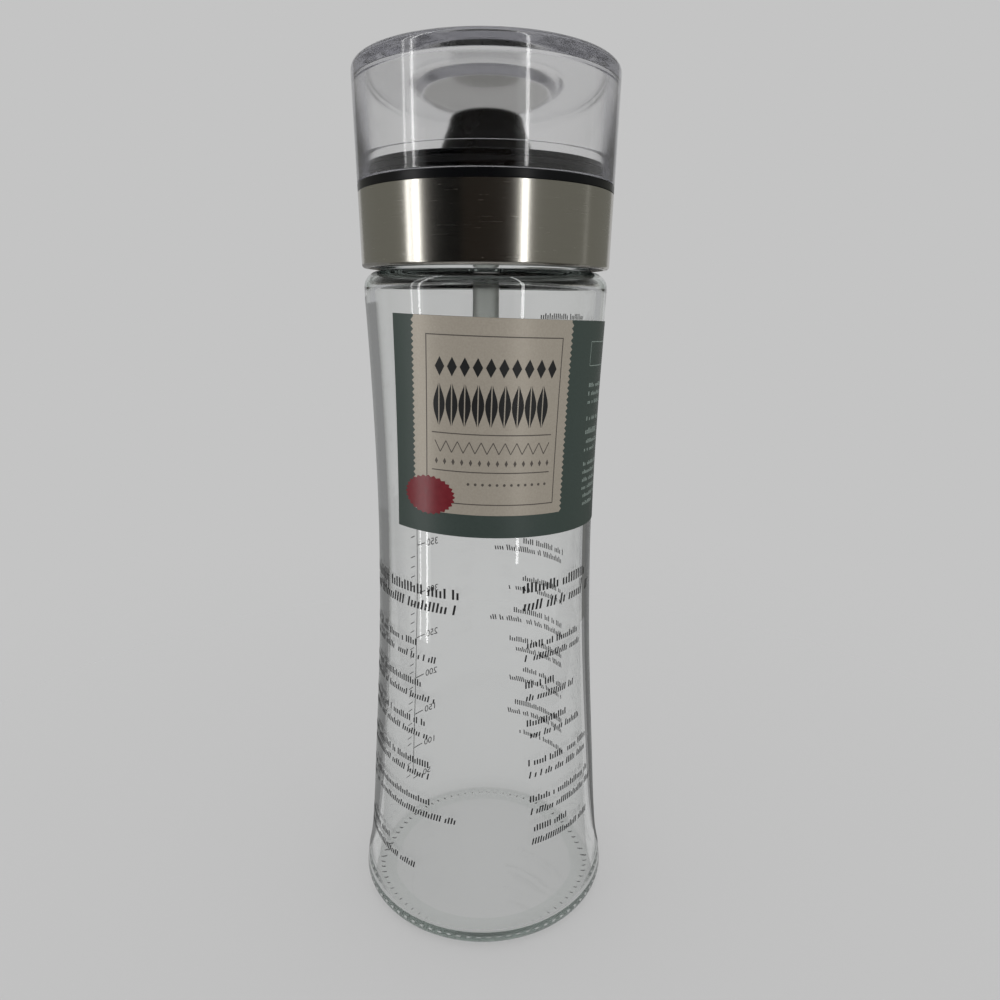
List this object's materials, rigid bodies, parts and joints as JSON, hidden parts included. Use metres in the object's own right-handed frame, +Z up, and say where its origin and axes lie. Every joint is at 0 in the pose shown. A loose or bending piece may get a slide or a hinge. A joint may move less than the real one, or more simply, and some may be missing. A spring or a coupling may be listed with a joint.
{
  "type": "salad dressing shaker bottle",
  "caption": "Waisted clear glass shaker bottle with a steel-banded screw cap, a black pour spout top, a vent tube, a paper label and a clear push-on lid.",
  "frame": {"origin": "centre of the base's resting face", "axes": "+Z up along the bottle's axis, -Y the front, where the label faces"},
  "size_m": [0.0796, 0.0796, 0.2477],
  "materials": {
    "clear_glass": "clear soda-lime glass, fire-polished",
    "label_paper": null,
    "seal_silicone": "moulded silicone, satin",
    "black_abs": "injection moulded, semi-gloss",
    "brushed_stainless": "brushed round the sleeve",
    "tube_plastic": "extruded translucent polyethylene",
    "clear_plastic": "clear moulded styrene acrylonitrile, polished"
  },
  "bodies": {
    "bottle": {"glass_bottle": "clear_glass", "paper_label": "label_paper"},
    "seal_ring": {"rim_seal": "seal_silicone"},
    "screw_cap": {"screw_collar": "black_abs", "steel_band": "brushed_stainless", "pour_top": "black_abs", "vent_tube": "tube_plastic", "lid_seal": "seal_silicone"},
    "lid": {"clear_lid": "clear_plastic"}
  },
  "joints": [
    {"name": "cap_lift", "type": "slide", "parent": "bottle", "child": "seal_ring", "axis": [0, 0, 1], "range_m": [0, 0.005]},
    {"name": "cap_turn", "type": "hinge", "parent": "seal_ring", "child": "screw_cap", "pos_m": [0, 0, 0.2159], "axis": [0, 0, 1], "range_deg": [0, 450]},
    {"name": "lid_lift", "type": "slide", "parent": "screw_cap", "child": "lid", "axis": [0, 0, 1], "range_m": [0, 0.03]}
  ],
  "couplings": [
    {"joint": "cap_lift", "follows": "cap_turn", "m_per_rad": 0.0006366}
  ]
}
